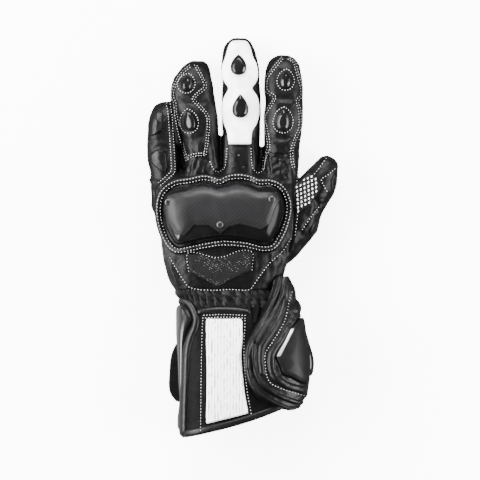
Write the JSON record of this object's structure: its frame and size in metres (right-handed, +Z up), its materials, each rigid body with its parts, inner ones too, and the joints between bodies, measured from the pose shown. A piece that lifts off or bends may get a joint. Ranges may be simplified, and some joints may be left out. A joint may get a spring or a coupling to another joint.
{
  "type": "motorcycle gauntlet",
  "caption": "Long leather riding glove for the left hand with a hard knuckle guard, padded fingers, a gathered wrist and a wide guarded cuff.",
  "frame": {"origin": "centre of the outline seen from above, on the surface the glove lies on", "axes": "+X towards the thumb, +Y towards the fingertips, +Z up out of the back of the hand"},
  "size_m": [0.1422, 0.2988, 0.0533],
  "materials": {
    "black_leather": "semi-gloss grained",
    "white_leather": "satin",
    "suede": "matte, rough",
    "gloss_guard": "gloss",
    "weave_plate": "gloss over a fine twill",
    "screw_steel": "dark satin",
    "thread": "matte"
  },
  "bodies": {
    "root": {"hand_body": "black_leather", "little_finger_stall": "black_leather", "ring_finger_stall": "black_leather", "middle_finger_stall": "black_leather", "index_finger_stall": "black_leather", "thumb_stall": "black_leather", "finger_bridge": "black_leather", "wrist_gather": "black_leather", "ring_finger_panel": "black_leather", "middle_finger_panel": "white_leather", "index_finger_panel": "black_leather", "ring_stud_tip": "gloss_guard", "ring_stud_knuckle": "gloss_guard", "middle_stud_tip": "gloss_guard", "middle_stud_knuckle": "gloss_guard", "index_stud_tip": "gloss_guard", "index_stud_knuckle": "gloss_guard", "little_pad_tip": "black_leather", "little_pad_base": "black_leather", "knuckle_guard": "gloss_guard", "knuckle_plate": "weave_plate", "knuckle_screw_1": "screw_steel", "knuckle_screw_2": "screw_steel", "knuckle_screw_3": "screw_steel", "knuckle_roll": "black_leather", "back_patch": "suede", "thumb_grip_panel": "suede", "thumb_pad_tip": "black_leather", "thumb_pad_base": "black_leather", "cuff_shell": "black_leather", "cuff_hem": "black_leather", "cuff_white_panel": "white_leather", "cuff_pad": "black_leather", "cuff_guard": "gloss_guard", "cuff_side_guard": "gloss_guard", "cuff_edge_guard": "gloss_guard", "cuff_edge_roll": "black_leather", "cuff_strap": "black_leather"}
  },
  "joints": []
}
